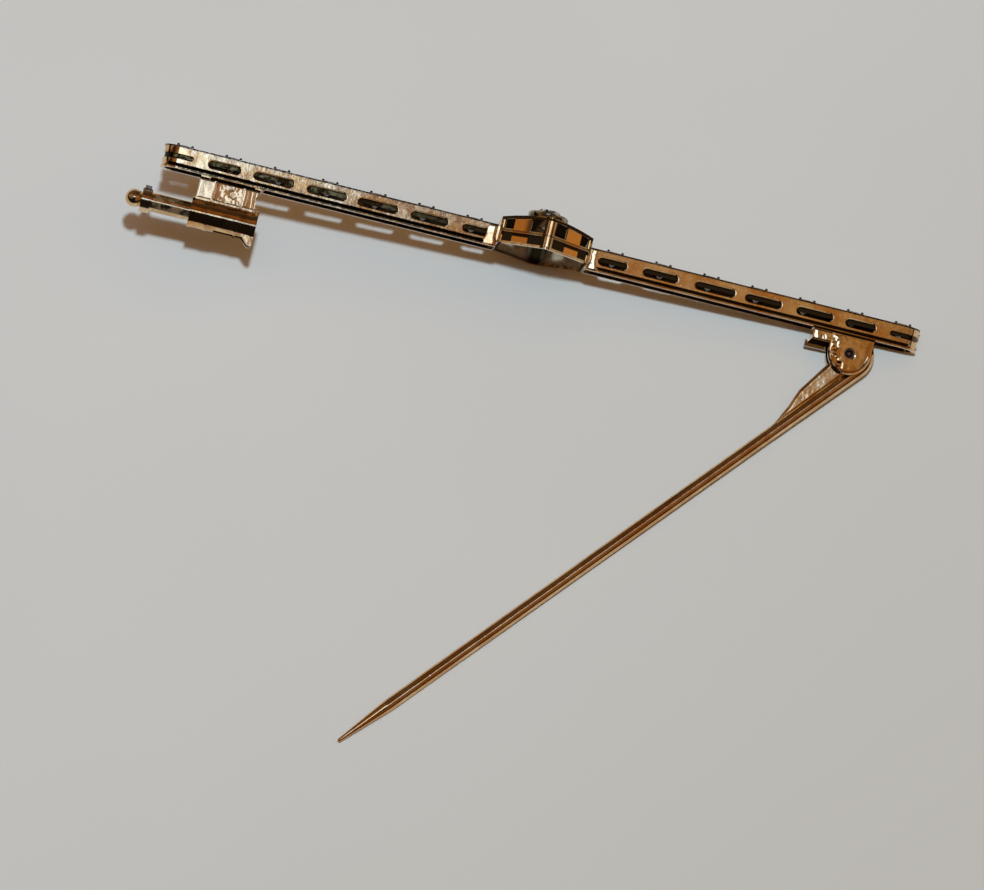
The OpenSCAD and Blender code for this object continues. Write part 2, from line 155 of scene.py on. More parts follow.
# Where each mark lies on the frame: millimetres on the brooch's own axes, or 0 to 1 in a noise.
# A band has a low and a high edge, each with the places where its fade starts and ends, or None
# where it is open
leftHalf, rightHalf = (None, (-0.02, 0.02)), ((-0.02, 0.02), None)
onBars, offBars = ((3.60, 3.64), None), (None, (3.60, 3.64))
zones = {
    "stained": {"along": leftHalf, "x": (None, (24, 27))},
    "stainedEnd": {"along": leftHalf, "x": ((24, 27), None)},
    "wearHigh": {"reach": onBars, "y": ((1.22, 1.28), (1.45, 1.55)), "speck": ((0.56, 0.66), None)},
    "wearLow": {"reach": onBars, "y": ((0.42, 0.46), (0.58, 0.64)), "speck": ((0.56, 0.66), None)},
    "shadeStrip": {"x": ((4.55, 4.62), (29.0, 29.4)), "ragged": ((0.00, 0.05), (0.34, 0.42))},
    "stripSpecks": {"speck": ((0.54, 0.62), None)},
    "bracket": {"along": leftHalf, "x": ((21.7, 21.8), (26.8, 26.9)), "y": ((-1.75, -1.65), (-0.25, -0.20))},
    "bracketStain": {"along": leftHalf, "x": ((23.2, 23.5), (25.0, 25.2)),
                     "y": ((-1.75, -1.65), (-0.25, -0.20)), "cloud": ((0.3, 0.6), None)},
    "panelReflection": {"reach": offBars, "x": ((1.42, 1.50), (2.70, 2.78)), "y": ((0.42, 0.46), None),
              "plan": ((5.35, 5.40), None), "arched": (None, (2.36, 2.40))},
    "shadedPanel": {"along": leftHalf, "x": (None, (1.45, 2.0)), "y": ((1.2, 1.3), None)},
    "underRail": {"reach": offBars, "plan": ((5.30, 5.36), (5.60, 5.63)), "y": ((0.82, 0.92), (1.14, 1.18))},
    "rail": {"reach": offBars, "plan": ((5.60, 5.66), None), "y": ((1.16, 1.20), (1.31, 1.35))},
    "spotted": {"reach": offBars, "plan": ((5.60, 5.66), None), "x": ((3.2, 3.4), None),
                "ripples": ((0.42, 0.55), None)},
    "whiteEdge": {"reach": onBars, "y": ((1.62, 1.64), None)},
    "collet": {"y": ((2.70, 2.74), None)},
    "whiteSide": {"y": ((1.62, 1.64), (1.765, 1.775)), "middle": ((1.30, 1.32), None)},
    "claws": {"reach": onBars, "y": ((1.76, 1.80), None), "across": ((-0.1, 0.1), None)},
    "inBar": {"reach": onBars, "middle": (None, (1.10, 1.17)), "y": ((0.14, 0.30), (1.40, 1.44))},
    "inBox": {"x": (None, (3.36, 3.44)), "plan": (None, (5.44, 5.50)), "y": ((0.24, 0.30), (2.44, 2.48))},
    "walls": {"x": ((0.3, 1.1), None), "y": ((0.24, 0.7), None), "plan": (None, (5.33, 5.37)),
              "arched": (None, (2.26, 2.34))},
    "farRim": {"along": rightHalf, "across": (None, (-0.1, 0.1)), "x": ((0.3, 0.6), None),
               "y": (None, (0.35, 0.75)), "ripples": ((0.45, 0.55), None)},
    "under": {"x": ((3.24, 3.28), (4.02, 4.06)), "y": (None, (0.24, 0.26))},
    "underCorner": {"x": ((3.50, 3.54), None), "z": ((1.02, 1.10), None)},
    "underLip": {"x": ((3.50, 3.52), (3.60, 3.62))},
    "lighterInside": {"along": (None, (-24, -2)), "insideShade": ((0.46, 0.60), None)},
    "boxTop": {"reach": offBars, "plan": ((5.5, 5.6), None), "arched": ((2.40, 2.44), None),
               "y": (None, (2.60, 2.64))},
    "besideWindow": {"along": leftHalf, "x": ((0.20, 0.26), (0.44, 0.48)), "plan": ((5.5, 5.6), None)},
    "besidePost": {"reach": offBars, "along": rightHalf, "x": ((0.17, 0.19), (0.26, 0.29)),
                   "plan": ((5.5, 5.6), None)},
    "endSides": {"y": ((0.10, 0.14), (1.60, 1.64))},
    "leftEnd": {"along": leftHalf, "x": ((28.95, 29.30), (29.62, 29.74)), "ripples": ((0.30, 0.52), None)},
    "rightEnd": {"along": rightHalf, "x": ((29.37, 29.41), (29.46, 29.50))},
    "hingeFoot": {"along": rightHalf, "x": ((21.7, 21.8), (26.6, 26.7)), "y": ((-0.12, -0.08), (0.05, 0.09)),
                  "z": ((0.9, 1.0), None)},
    "hingeTab": {"along": rightHalf, "x": ((21.3, 21.4), (23.3, 23.4)), "y": (None, (-1.0, -0.9))},
    "slideNub": {"along": (None, (-30.0, -29.9)), "y": ((-2.20, -2.12), None)},
    "slideTube": {"along": ((-30.0, -29.9), None)},
}
# The slant of the box's sides, the arch of its face, and the middle of the bar's round ends
boxShape = {"slant": 0.8333, "arch": 0.0313, "roundEnds": 28.7}


def inZone(name, at):
    mask = 1.0
    for value, band in zones[name].items():
        mask = mask * at[value].between(*band)
    return mask


def goldNoises(place):
    at = {name: noiseOf(place, *size) for name, size in noises.items()}
    at["mottle"] = at["mottle"].step(0.46, 0.62)
    at["insideShade"] = at["cloud"] * 0.5 + at["ripples"] * 0.5
    return at


def broochAxes(place):
    # distances in the brooch's own axes, in millimetres
    return [place.dot(tuple(axis / mm)) - axis.dot(laidOrigin) / mm for axis in (alongBar, toFace, acrossBar)]


def framePlaces(at):
    at["x"] = at["reach"] = at["along"].math("ABSOLUTE", at["along"])
    at["z"] = at["across"].math("ABSOLUTE", at["across"])
    # height measured to the arched face, and distance from the middle of the box along its sides
    at["arched"] = at["y"] + at["x"] * at["x"] * boxShape["arch"]
    at["plan"] = at["z"] + boxShape["slant"] * at["x"]
    # distance from the bar's middle line, or from the middle of its round end
    past = at["x"].math("MAXIMUM", at["x"] - boxShape["roundEnds"], 0.0)
    at["middle"] = (past * past + at["z"] * at["z"]) ** 0.5
    at["ragged"] = at["y"] + (at["ripples"] - 0.5) * 0.30


def wornGold(colour, at, look):
    # the flats are mottled, more so on the left
    mottled = strength["mottled"] + strength["stained"] * inZone("stained", at)
    mottled = mottled + strength["stainedEnd"] * inZone("stainedEnd", at)
    colour = (at["mottle"] * mottled).mix(colour, look["stain"])
    # bright wear above and below the slots, and a dark ragged strip of painted shade along the lower edge
    wear = inZone("wearHigh", at) + inZone("wearLow", at)
    colour = (wear * strength["wear"]).mix(colour, look["worn"])
    shadeStrip = inZone("shadeStrip", at) * (1 - strength["stripSpecks"] * inZone("stripSpecks", at))
    right = strength["stripRight"]
    shadeStrip = shadeStrip * (right + (1 - right) * at["along"].between(*leftHalf))
    colour = shadeStrip.mix(colour, look["shadeStrip"])
    # the bracket is hazy, and stained where it is worn
    colour = (inZone("bracket", at) * strength["bracket"]).mix(colour, look["bracket"])
    return (inZone("bracketStain", at) * strength["bracketStain"]).mix(colour, look["stain"])


def boxGold(colour, at, look):
    # painted orange reflection on the panels between the windows of the centre box
    panelReflection = inZone("panelReflection", at)
    colour = panelReflection.mix(colour, look["panelReflection"])
    # painted shade darkens the panels of the upper tier on the box's left
    colour = (panelReflection * inZone("shadedPanel", at) * strength["shadedPanel"]).mix(colour, look["shadedPanel"])
    # painted shadow in the gaps under the rails, and painted shade on the rail between the two tiers, which
    # is pale at its edges only
    colour = inZone("underRail", at).mix(colour, look["paintedShade"])
    colour = (inZone("rail", at) * strength["rail"]).mix(colour, look["brown"])
    # the frame round the windows is spotted where it meets the bars
    return inZone("spotted", at).mix(colour, look["brown"]), panelReflection


def whiteMetal(colour, at):
    # the thin edge of white metal at the face, with painted shade and painted glints on its side, and the
    # collet
    white = at["ripples"].step(0.40, 0.60) * strength["whiteShade"]
    white = white.mix(whiteLook["shade"], whiteLook["tint"])
    face = at["cloud"].step(0.38, 0.62).mix(whiteLook["worn"], whiteLook["face"])
    white = at["reach"].between(*onBars).mix(white, face)
    side = at["speck"].step(0.50, 0.62).mix(whiteLook["sideShade"], whiteLook["glint"])
    white = inZone("whiteSide", at).mix(white, side)
    # painted shade on the claws on the near side of the bar
    white = inZone("claws", at).mix(white, whiteLook["shade"])
    return (inZone("whiteEdge", at) + inZone("collet", at)).clamp().mix(colour, white)


def shadedInsides(colour, at, look):
    # painted shade inside the bars, in the slots and in the box, but worn gold shows along its far rim
    inBar, inBox = inZone("inBar", at), inZone("inBox", at)
    under = inZone("under", at) * (1 - inZone("underCorner", at)) * (1 - inZone("underLip", at))
    paintedShade = (inBar + inBox * (1 - inZone("farRim", at)) + under).clamp()
    # painted floor reflection makes the box's inner walls grey brown, with painted shade at the point and low
    # down
    walls = at["ripples"].step(0.3, 0.7).mix(look["floorReflectionDim"], look["floorReflectionPale"])
    # inside the bars the painted shade is lighter in patches over the left half, most towards the left end
    dark = (inBar * inZone("lighterInside", at)).mix(look["paintedShade"], look["insideShade"])
    return paintedShade.mix(colour, (inZone("walls", at) * inBox).mix(dark, walls)), paintedShade, under


def paintedShadeMarks(colour, at, look, under):
    # painted shade: the frame round the windows is dark along the face and beside the post on its left
    beside = inZone("boxTop", at) + inZone("besideWindow", at) + inZone("besidePost", at)
    colour = beside.clamp().mix(colour, look["shade"])
    # painted shade: dark bands where the ends turn away, and dark lines round the hinge's foot
    rightEnd = inZone("rightEnd", at)
    ends = (inZone("leftEnd", at) + rightEnd) * inZone("endSides", at)
    colour = ends.clamp().mix(colour, look["ends"])
    lines = rightEnd * ends + inZone("hingeFoot", at) + inZone("hingeTab", at) * strength["hingeTab"]
    colour = lines.clamp().mix(colour, look["shade"])
    # painted shade on the rims underneath, where box and bars meet
    return under.mix(colour, look["underRimShade"])


def goldMaterial(name, look=goldLook, onFrame=False):
    material, tree, output, start, place = newMaterial(name)
    at = goldNoises(place)
    at["along"], at["y"], at["across"] = broochAxes(place)
    colour = at["cloud"].step(0.35, 0.68).mix(look["deep"], look["pale"])
    colour = at["speck"].step(0.62, 0.75).mix(colour, look["worn"])
    smoothest, roughest = look["rough"]
    roughness = smoothest + (roughest - smoothest) * (at["cloud"] * 0.6 + at["ripples"] * 0.4).clamp()
    if onFrame:
        framePlaces(at)
        colour, panelReflection = boxGold(wornGold(colour, at, look), at, look)
        colour, paintedShade, under = shadedInsides(whiteMetal(colour, at), at, look)
        colour = paintedShadeMarks(colour, at, look, under)
        roughness = roughness + look["panelRough"] * panelReflection + look["shadeRough"] * paintedShade
        metal = (1 - paintedShade) * (1 - look["film"] * inZone("bracket", at))
    else:
        colour = (at["mottle"] * strength["plainMottle"]).mix(colour, look["stain"])
        # the nub on the catch's collar is dark
        colour = (inZone("slideNub", at) * strength["slideNub"]).mix(colour, look["shade"])
        metal = 1 - look["film"] * at["mottle"] * inZone("slideTube", at)
    height = at["dents"] * look["dent"] + at["ripples"] * look["ripple"] + at["speck"] * look["grain"]
    bump = start.make("ShaderNodeBump", None, {"Height": height, "Distance": 0.001 * mm, "Strength": 1.0})
    shader = start.make("ShaderNodeBsdfPrincipled", None,
                        {"Base Color": colour, "Metallic": metal, "Roughness": roughness, "Normal": bump,
                         "Specular IOR Level": 0.0})
    tree.links.new(shader.out, output.inputs[0])
    return material


# bend is how strongly the stone bends light
stoneLook = {
    "clear": (0.93, 0.95, 0.98), "cloudy": (0.80, 0.84, 0.90), "insideShade": (0.06, 0.045, 0.03),
    "rough": 0.02, "bend": 2.1}
centreLook = {
    "dark": (0.035, 0.036, 0.03), "bright": (0.86, 0.82, 0.72), "glass": (0.9, 0.92, 0.95, 1),
    "facets": 2600, "rough": 0.02, "bend": 2.2, "sparkleRough": 0.12, "sparkleMetal": 0.6, "sparkle": 0.72}


def centreStoneMaterial(name):
    material, tree, output, start, place = newMaterial(name)
    # painted dark and bright facets stand in for the stone's reflections
    facets = start.make("ShaderNodeTexVoronoi", {"feature": "F1"},
                        {"Vector": place, "Scale": centreLook["facets"]}, 1)
    shade = place.make("ShaderNodeSeparateColor", None, {0: facets})
    colour = shade.step(0.15, 0.85).mix(centreLook["dark"], centreLook["bright"])
    glass = start.make("ShaderNodeBsdfPrincipled", None,
                       {"Base Color": centreLook["glass"], "Roughness": centreLook["rough"],
                        "IOR": centreLook["bend"], "Transmission Weight": 1.0})
    sparkle = start.make("ShaderNodeBsdfPrincipled", None,
                         {"Base Color": colour, "Roughness": centreLook["sparkleRough"],
                          "Metallic": centreLook["sparkleMetal"]})
    both = start.make("ShaderNodeMixShader", None, {0: centreLook["sparkle"], 1: glass, 2: sparkle})
    tree.links.new(both.out, output.inputs[0])
    return material


def stoneMaterial(name):
    material, tree, output, start, place = newMaterial(name)
    cloud = noiseOf(place, 900, 2)
    colour = cloud.step(0.4, 0.7).mix(stoneLook["clear"], stoneLook["cloudy"])
    # painted shade darkens the undersides of the bar's stones
    x, y = broochAxes(place)[:2]
    insideShade = (1 - y.step(1.40, 1.56)) * x.math("ABSOLUTE", x).step(3.0, 3.5)
    colour = (insideShade * strength["stoneShade"]).mix(colour, stoneLook["insideShade"])
    shader = start.make("ShaderNodeBsdfPrincipled", None,
                        {"Base Color": colour, "Roughness": stoneLook["rough"],
                         "IOR": stoneLook["bend"], "Transmission Weight": 1.0})
    tree.links.new(shader.out, output.inputs[0])
    return material


# Painted shade: the table is a little darker towards the lower right corner
floorLook = {
    "dark": (0.74, 0.745, 0.75), "light": (0.765, 0.77, 0.775), "corner": (0.655, 0.645, 0.62),
    "toCorner": (0.75, -0.66, 0), "fade": (-0.04, 0.06), "rough": 0.7, "shine": 0.2}


def floorMaterial():
    material, tree, output, start, place = newMaterial("paleTable")
    cloud = noiseOf(place, 18, 3)
    colour = cloud.step(0.3, 0.7).mix(floorLook["dark"], floorLook["light"])
    corner = place.dot(floorLook["toCorner"]).step(*floorLook["fade"])
    colour = corner.mix(colour, floorLook["corner"])
    shader = start.make("ShaderNodeBsdfPrincipled", None,
                        {"Base Color": colour, "Roughness": floorLook["rough"],
                         "Specular IOR Level": floorLook["shine"]})
    tree.links.new(shader.out, output.inputs[0])
    return material


gold = goldMaterial("yellowGoldFrame", frameLook, onFrame=True)
goldPin = goldMaterial("yellowGoldPin")
slideGold = goldMaterial("yellowGoldSlide", {
    **goldLook, "deep": (0.80, 0.55, 0.29), "pale": (0.95, 0.80, 0.56), "rough": (0.09, 0.17), "film": 0.22})
darkRivet = goldMaterial("darkRivetGold", {
    **goldLook, "deep": (0.10, 0.07, 0.05), "pale": (0.30, 0.24, 0.20), "rough": (0.25, 0.40)})
slotFloorShade = goldMaterial("shadedSlotFloor", {
    **goldLook, "deep": (0.012, 0.009, 0.006), "pale": (0.05, 0.035, 0.02), "worn": (0.10, 0.07, 0.04),
    "rough": (0.35, 0.50)})
stone = stoneMaterial("clearStone")
centreStone = centreStoneMaterial("clearCentreStone")
print("materials made")


# Each solid's gold and the width of its soft edges, and how those are made
softEdge = {
    "solids": {"frame": (gold, 0.04), "pin": (goldPin, 0.04), "hinge_rivet": (darkRivet, 0.03),
               "catch_slide": (slideGold, 0.04)},
    "steps": 3, "angle": 28, "weld": 0.0002}


def dressSolid(name, material, width):
    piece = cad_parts[name]
    piece.data.materials.clear()
    piece.data.materials.append(material)
    for face in piece.data.polygons:
        face.use_smooth = True
    if "custom_normal" in piece.data.attributes:
        piece.data.attributes.remove(piece.data.attributes["custom_normal"])
    weld = piece.modifiers.new("weld", "WELD")
    weld.merge_threshold = softEdge["weld"] * mm
    edge = piece.modifiers.new("softEdges", "BEVEL")
    edge.width, edge.segments, edge.limit_method = width * mm, softEdge["steps"], "ANGLE"
    edge.angle_limit = math.radians(softEdge["angle"])
    edge.use_clamp_overlap = True
    edge.harden_normals = True
    # keeps the flat sides flat right up to their soft edges
    flat = piece.modifiers.new("flatSides", "WEIGHTED_NORMAL")
    flat.keep_sharp = True


for name, (material, width) in softEdge["solids"].items():
    dressSolid(name, material, width)
for name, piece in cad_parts.items():
    if "stone" in name:
        piece.data.materials.clear()
        piece.data.materials.append(centreStone if name == "centre_stone" else stone)
print("solids dressed")


# Raised details that lie on the solids. A wave is smooth noise from -1 to 1, with so many bumps
# to the millimetre, and another seed gives other bumps
def wave(x, y, scale, seed=0.0):
    return noise.noise(Vector((x * scale, y * scale, seed)))


def hump(x, middle, width):
    return math.exp(-((x - middle) / width) ** 2)


def spread(low, high, count):
    return [low + (high - low) * i / (count - 1) for i in range(count)]


def fadeIn(*distances):
    # 0 at an edge and 1 past its fade: each pair is a distance from an edge and the fade's width
    return max(0, min(1, *(distance / width for distance, width in distances)))


def gridShape(place, rows, base):
    # rows of (u, v, height): the relief on top, closed by sides and a flat bottom at base
    high, wide = len(rows), len(rows[0])
    points = [place(u, v, h) for row in rows for u, v, h in row]
    points += [place(u, v, base) for row in rows for u, v, h in row]
    low = high * wide
    faces = []
    for j in range(high - 1):
        for i in range(wide - 1):
            a, b, c, d = j * wide + i, j * wide + i + 1, (j + 1) * wide + i + 1, (j + 1) * wide + i
            faces += [(a, b, c, d), (low + d, low + c, low + b, low + a)]
    rim = list(range(wide)) + [j * wide + wide - 1 for j in range(1, high)]
    rim += [(high - 1) * wide + i for i in range(wide - 2, -1, -1)]
    rim += [j * wide for j in range(high - 2, 0, -1)]
    for a, b in zip(rim, rim[1:] + rim[:1]):
        faces.append((b, a, low + a, low + b))
    return points, faces


def makePiece(name, points, faces, material, body):
    mesh = bpy.data.meshes.new(name)
    mesh.from_pydata([tuple(point) for point in points], [], faces)
    shape = bmesh.new()
    shape.from_mesh(mesh)
    bmesh.ops.recalc_face_normals(shape, faces=shape.faces)
    shape.to_mesh(mesh)
    shape.free()
    for face in mesh.polygons:
        face.use_smooth = True
    mesh.materials.append(material)
    piece = bpy.data.objects.new(name, mesh)
    bpy.context.scene.collection.objects.link(piece)
    split = piece.modifiers.new("smoothByAngle", "EDGE_SPLIT")
    split.split_angle = math.radians(50)
    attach(piece, body)


def gridPiece(name, place, rows, base, material=gold, body="brooch"):
    makePiece(name, *gridShape(place, rows, base), material, body)


# The front of the catch's bracket, with cast ribs, worn between them and pitted in the middle
bracketShape = {
    "left": -26.78, "right": -21.82, "bottom": -1.68, "top": -0.20, "columns": 110, "rows": 34,
    "hollow": {"x": -21.3, "y": -0.85}, "face": 0.515, "lowest": 0.49, "edge": 0.50, "base": 0.42,
    "ribs": ((-25.45, 0.10, 0.12), (-22.95, 0.12, 0.11), (-22.45, 0.05, 0.05), (-22.15, 0.05, 0.06)),
    "worn": {"from": -25.2, "to": -23.2, "fade": 0.06},
    "pit": {"x": -24.07, "y": -0.92, "reach": 0.17, "deep": 0.04}}


def bracketRight(y):
    # the right edge follows the hollow side of the bracket
    away = y - bracketShape["hollow"]["y"]
    hollow = bracketShape["hollow"]["x"] - math.sqrt(max(0, 1 - away * away))
    return min(bracketShape["right"], hollow + 0.005)


def bracketRelief(x, y):
    height = bracketShape["face"] + 0.004 * wave(x, y, 1.1)
    for middle, width, rise in bracketShape["ribs"]:
        height += rise * hump(x + 0.05 * wave(x, y, 1.4, 3.0), middle, width)
    worn, pit = bracketShape["worn"], bracketShape["pit"]
    inWorn = 1 / (1 + math.exp((worn["from"] - x) / worn["fade"]))
    inWorn /= 1 + math.exp((x - worn["to"]) / worn["fade"])
    height += inWorn * (0.008 * wave(x, y, 1.9, 7.0) + 0.004 * wave(x, y, 4.5, 9.0) - 0.004)
    away = math.hypot(x - pit["x"], y - pit["y"]) + 0.14 * wave(x, y, 4.4, 11.0)
    height -= pit["deep"] * hump(away, 0, pit["reach"])
    ends = fadeIn((y - bracketShape["bottom"], 0.1), (bracketShape["top"] - y, 0.06),
                  (x - bracketShape["left"], 0.06))
    return max(bracketShape["lowest"], bracketShape["edge"] + (height - bracketShape["edge"]) * ends)


rows = [[(x, y, bracketRelief(x, y))
         for x in spread(bracketShape["left"], bracketRight(y), bracketShape["columns"])]
        for y in spread(bracketShape["bottom"], bracketShape["top"], bracketShape["rows"])]
gridPiece("bracket_front", broochPoint, rows, bracketShape["base"])

# The flat of the pin's fin, with a groove between it and the stem
finShape = {
    "edge": ((0, 0.35), (1.2, 0.32), (2.2, 0.27), (4.7, -0.04), (5.4, -0.28), (6.1, -0.56), (8.3, -1.15)),
    "start": 1.05, "end": 7.9, "low": -1.49 + 0.385, "inset": 0.015, "columns": 90, "rows": 26,
    "face": 0.385, "edgeLow": 0.335, "fades": (0.16, 0.20), "groove": 0.27, "slope": 0.8, "base": 0.22,
    "lean": 0.019, "leanFrom": (4.4, -0.4), "leanTurn": (0.655, 0.756)}


def finEdge(along):
    for (a, high), (b, low) in zip(finShape["edge"], finShape["edge"][1:]):
        if along <= b:
            return high + (low - high) * (along - a) / (b - a)
    return finShape["edge"][-1][1]


def finRelief(along, across, inner, outer):
    rise = fadeIn((inner, finShape["fades"][0]), (outer, finShape["fades"][1]))
    height = finShape["edgeLow"] + (finShape["face"] - finShape["edgeLow"]) * rise
    height += rise * (0.003 * wave(along, across, 1.3, 2.0) + 0.0015 * wave(along, across, 4.0, 5.0))
    # the whole flat leans a little about a slanting line
    (fromAlong, fromAcross), (turnAlong, turnAcross) = finShape["leanFrom"], finShape["leanTurn"]
    height += finShape["lean"] * (turnAlong * (fromAlong - along) - turnAcross * (across - fromAcross))
    return min(height, finShape["groove"] + finShape["slope"] * inner)


rows = []
for part in spread(0, 1, finShape["rows"]):
    row = []
    for along in spread(finShape["start"], finShape["end"], finShape["columns"]):
        low, edge = finShape["low"], finEdge(along) - finShape["inset"]
        across = low + (max(edge, low + 0.05) - low) * part
        row.append((along, across, finRelief(along, across, across - low, edge - across)))
    rows.append(row)
gridPiece("fin_face", pinPoint, rows, finShape["base"], goldPin, "swinging_pin")

# The faces of the hinge's ears, slightly domed, with a bent rim, worn at the left
earShape = {
    "radius": 1.57, "hole": 0.425, "top": 1.24, "face": 1.105, "dome": 0.010, "base": 1.0,
    "dip": {"degrees": 325, "wide": 40, "fade": 0.10}, "rim": {"at": 0.94, "width": 0.045, "rise": 0.03},
    "worn": {"degrees": 188, "wide": 48, "at": 0.74, "width": 0.26},
    "dimple": {"x": -0.68, "y": -1.02, "reach": 0.162, "deep": 0.13}, "lowerLimit": 0.03,
    "rings": 22, "spokes": 96}


def earRelief(x, y, turn, part):
    degrees = math.degrees(turn)
    low, rim, wear = earShape["dip"], earShape["rim"], earShape["worn"]
    dip = (1 - min(1, part / low["fade"])) * hump(degrees, low["degrees"], low["wide"])
    height = earShape["face"] + earShape["dome"] * (1 - part ** 4) * (1 - dip)
    # the rim is bent in the lower half only
    height += rim["rise"] * hump(part, rim["at"], rim["width"]) * max(0, min(1, 0.4 - 2 * math.sin(turn)))
    worn = hump(degrees, wear["degrees"], wear["wide"]) * hump(part, wear["at"], wear["width"])
    height += worn * (0.09 * wave(x, y, 2.6, 4.0) + 0.04 * wave(x, y, 6.0, 5.0))
    height += 0.003 * wave(x, y, 2.0, 6.0) * min(1, part / 0.2) * min(1, (1 - part) / 0.1)
    dimple = earShape["dimple"]
    away = math.hypot(x - dimple["x"], y - dimple["y"])
    return height - dimple["deep"] * hump(away, 0, dimple["reach"]) * min(1, (1 - part) / 0.06)


def earReach(turn):
    reach = earShape["radius"] + 0.01 * wave(math.cos(turn), math.sin(turn), 2.0)
    if math.sin(turn) > 0:
        reach = min(reach / max(0.05, abs(math.cos(turn))), earShape["top"] / max(0.05, math.sin(turn)))
    return reach


for side, name in ((1, "ear_face_upper"), (-1, "ear_face_lower")):
    rows = []
    for k in range(earShape["spokes"] + 1):
        turn = 2 * math.pi * (k % earShape["spokes"]) / earShape["spokes"]
        row = []
        for part in spread(0, 1, earShape["rings"]):
            away = earShape["hole"] + (earReach(turn) - earShape["hole"]) * part
            x, y = away * math.cos(turn), away * math.sin(turn)
            height = earRelief(x, y, turn, part)
            if side < 0:
                height = min(height, earShape["face"] + earShape["lowerLimit"])
            row.append((hinge["x"] + x, hinge["y"] + y, side * height))
        rows.append(row)
    gridPiece(name, broochPoint, rows, side * earShape["base"])

# The solder between the box and the bars: its profiles give the place along and the height
solderShape = {
    "left": ((-4.46, 1.285), (-4.38, 1.303), (-4.25, 1.312), (-4.05, 1.332), (-3.88, 1.352),
             (-3.74, 1.380), (-3.66, 1.45), (-3.61, 1.60)),
    "right": ((3.61, 1.50), (3.68, 1.40), (3.76, 1.352), (3.84, 1.352), (3.94, 1.360), (4.06, 1.370),
              (4.18, 1.378), (4.28, 1.382), (4.36, 1.372), (4.46, 1.33), (4.52, 1.285))}
solderPlace = {
    "middle": 4.0, "y": (0.02, 1.72), "bottom": 0.0, "top": 1.74, "fade": 0.08, "edge": 1.29, "base": 1.22,
    "rows": 22}


def solderMiddle(side, y):
    # the middle and the width of the solder, which change up the wall
    if side == "left":
        return -solderPlace["middle"] - 0.06 * math.sin(1.8 * y), 0.92 + 0.22 * hump(y, 0.35, 0.3)
    return solderPlace["middle"], 0.56 + 0.75 * max(0, 1 - y / 0.7) ** 1.5


for side, profile in solderShape.items():
    rows = []
    for y in spread(*solderPlace["y"], solderPlace["rows"]):
        ends = fadeIn((y - solderPlace["bottom"], solderPlace["fade"]),
                      (solderPlace["top"] - y, solderPlace["fade"]))
        middle, wide = solderMiddle(side, y)
        row = []
        for x, high in profile:
            away = (x - math.copysign(solderPlace["middle"], middle)) * wide
            height = solderPlace["edge"] + (high - solderPlace["edge"]) * ends
            height += 0.006 * wave(x, y, 3.0, 8.0)
            row.append((middle + away + 0.05 * wave(y, x, 1.6, 1.0), y, height))
        rows.append(row)
    gridPiece("solder_" + side, broochPoint, rows, solderPlace["base"])

# The slot round each end is shallow, with painted shade on its floor
endSlot = {
    "middle": boxShape["roundEnds"], "reach": 0.85, "y": (0.70, 1.14), "outer": 1.20, "inner": 0.90,
    "columns": 41, "rows": 5}


def endPoint(side):
    def place(turn, y, away):
        return broochPoint(side * (endSlot["middle"] + away * math.cos(turn)), y, away * math.sin(turn))
    return place


for side, name in ((-1, "left"), (1, "right")):
    rows = [[(turn, y, endSlot["outer"] - 0.03 * abs(wave(turn, y, 3.0, side)))
             for turn in spread(-endSlot["reach"], endSlot["reach"], endSlot["columns"])]
            for y in spread(*endSlot["y"], endSlot["rows"])]
    gridPiece("end_slot_floor_" + name, endPoint(side), rows, endSlot["inner"], slotFloorShade)

# A bright worn lip at the hinge side of every slot, filed down towards the slot
slotLips = {
    "middles": (-25.2, -21.3, -17.1, -13.05, -8.95, 5.6, 9.4, 13.75, 17.6, 21.7, 25.35),
    "lengths": (2.5, 3.1, 3.05, 3.1, 2.85, 2.2, 2.7, 3.1, 2.8, 2.8, 2.3),
    "y": 0.92, "slotRadius": 0.275, "inner": 0.30, "outer": 0.41, "wall": 1.301, "rise": 0.014, "base": 1.27,
    "arc": 1.05, "columns": 25, "rows": 5}


def lipShape(middle):
    def place(turn, away, height):
        return broochPoint(middle + away * math.cos(turn), slotLips["y"] + away * math.sin(turn), height)
    rows = []
    for part in spread(0, 1, slotLips["rows"]):
        row = []
        for turn in spread(-slotLips["arc"], slotLips["arc"], slotLips["columns"]):
            thin = max(0, math.cos(turn / slotLips["arc"] * math.pi / 2)) ** 0.5
            thin *= 0.8 + 0.4 * wave(middle, turn, 1.1, 2.0)
            reach = slotLips["inner"] + (slotLips["outer"] - slotLips["inner"]) * part * max(0.05, thin)
            rise = slotLips["rise"] * math.sin(part * math.pi * 0.62) * thin
            row.append((turn, reach, slotLips["wall"] + rise))
        rows.append(row)
    return gridShape(place, rows, slotLips["base"])


points, faces = [], []
for middle, length in zip(slotLips["middles"], slotLips["lengths"]):
    more, moreFaces = lipShape(middle + length / 2 - slotLips["slotRadius"])
    faces += [tuple(len(points) + k for k in face) for face in moreFaces]
    points += more
makePiece("slot_lips", points, faces, gold, "brooch")

# The front of the hinge's stop is rough with solder
stopShape = {
    "left": 21.92, "right": 23.36, "bottom": -0.90, "top": -0.12, "columns": 60, "rows": 34, "fade": 0.08,
    "edge": 1.11, "face": 0.04, "base": 1.0,
    "ridge": {"x": 22.12, "slant": 0.3, "width": 0.16, "rise": 0.018},
    "pit": {"x": 22.55, "y": -0.68, "reach": 0.10, "deep": 0.03}}


